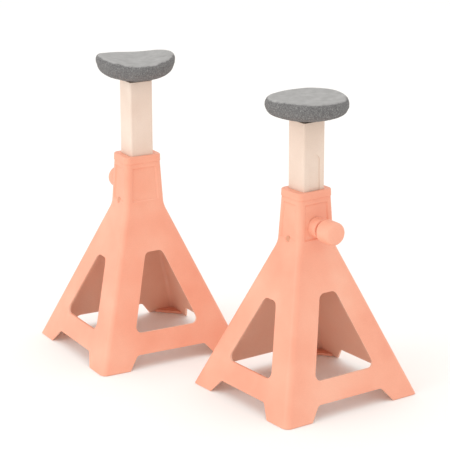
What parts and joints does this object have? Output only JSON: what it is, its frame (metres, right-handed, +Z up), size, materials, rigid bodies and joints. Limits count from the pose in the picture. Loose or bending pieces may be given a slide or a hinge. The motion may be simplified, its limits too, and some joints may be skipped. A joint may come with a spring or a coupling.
{
  "type": "axle jack stands",
  "caption": "Pair of pin-lock axle jack stands with pressed pyramid bases, square sliding posts, sprung pull knobs and swivelling rubber saddles.",
  "frame": {"origin": "on the floor, half-way between the two stands", "axes": "+Z up, +Y from the right stand towards the left stand along the line of the lock pins, +X across, away from the windowed X sides"},
  "size_m": [0.2868, 0.4696, 0.39],
  "materials": {
    "painted_shell": "satin powder coat",
    "painted_knob": "satin powder coat",
    "cream_post": "satin powder coat",
    "raw_steel": "machined",
    "spring_steel": "drawn wire",
    "grey_rubber": "rough moulded"
  },
  "bodies": {
    "right_base": {"right_pin_wall": "painted_shell", "right_back_wall": "painted_shell", "right_window_side_wall": "painted_shell", "right_plain_side_wall": "painted_shell", "right_neck": "painted_shell", "right_foot_plates": "painted_shell", "right_neck_collar": "painted_shell", "right_lower_guide": "raw_steel", "right_guide_rivets": "painted_shell", "right_lock_boss": "painted_knob", "right_spring_retainer": "raw_steel", "right_lock_spring": "spring_steel"},
    "right_post_group": {"right_post": "cream_post", "right_post_stop": "raw_steel", "right_post_head": "cream_post"},
    "right_saddle": {"right_saddle_core": "raw_steel", "right_saddle_pad": "grey_rubber", "right_saddle_clip": "spring_steel"},
    "right_lock": {"right_lock_pin": "raw_steel", "right_lock_knob": "painted_knob"},
    "left_base": {"left_pin_wall": "painted_shell", "left_back_wall": "painted_shell", "left_window_side_wall": "painted_shell", "left_plain_side_wall": "painted_shell", "left_neck": "painted_shell", "left_foot_plates": "painted_shell", "left_neck_collar": "painted_shell", "left_lower_guide": "raw_steel", "left_guide_rivets": "painted_shell", "left_lock_boss": "painted_knob", "left_spring_retainer": "raw_steel", "left_lock_spring": "spring_steel"},
    "left_post_group": {"left_post": "cream_post", "left_post_stop": "raw_steel", "left_post_head": "cream_post"},
    "left_saddle": {"left_saddle_core": "raw_steel", "left_saddle_pad": "grey_rubber", "left_saddle_clip": "spring_steel"},
    "left_lock": {"left_lock_pin": "raw_steel", "left_lock_knob": "painted_knob"}
  },
  "joints": [
    {"name": "right_post_slide", "type": "slide", "parent": "right_base", "child": "right_post_group", "axis": [0, 0, 1], "range_m": [-0.024, 0.048]},
    {"name": "right_saddle_swivel", "type": "hinge", "parent": "right_post_group", "child": "right_saddle", "pos_m": [0.04138, -0.13681, 0.3435], "axis": [0, 0, 1], "continuous": true},
    {"name": "right_lock_pull", "type": "slide", "parent": "right_base", "child": "right_lock", "axis": [0, -1, 0], "range_m": [0, 0.0044], "stiffness_N_per_m": 2500, "springref_m": -0.002, "deforming": ["right_lock_spring"]},
    {"name": "left_post_slide", "type": "slide", "parent": "left_base", "child": "left_post_group", "axis": [0, 0, 1], "range_m": [-0.036, 0.036]},
    {"name": "left_saddle_swivel", "type": "hinge", "parent": "left_post_group", "child": "left_saddle", "pos_m": [-0.03222, 0.12719, 0.3555], "axis": [0, 0, 1], "continuous": true},
    {"name": "left_lock_pull", "type": "slide", "parent": "left_base", "child": "left_lock", "axis": [0.108, 0.9942, 0], "range_m": [0, 0.0044], "stiffness_N_per_m": 2500, "springref_m": -0.002, "deforming": ["left_lock_spring"]},
    {"name": "left_stand_shift", "type": "slide", "parent": "right_base", "child": "left_base", "axis": [0, 1, 0], "range_m": [0, 0.3]}
  ]
}
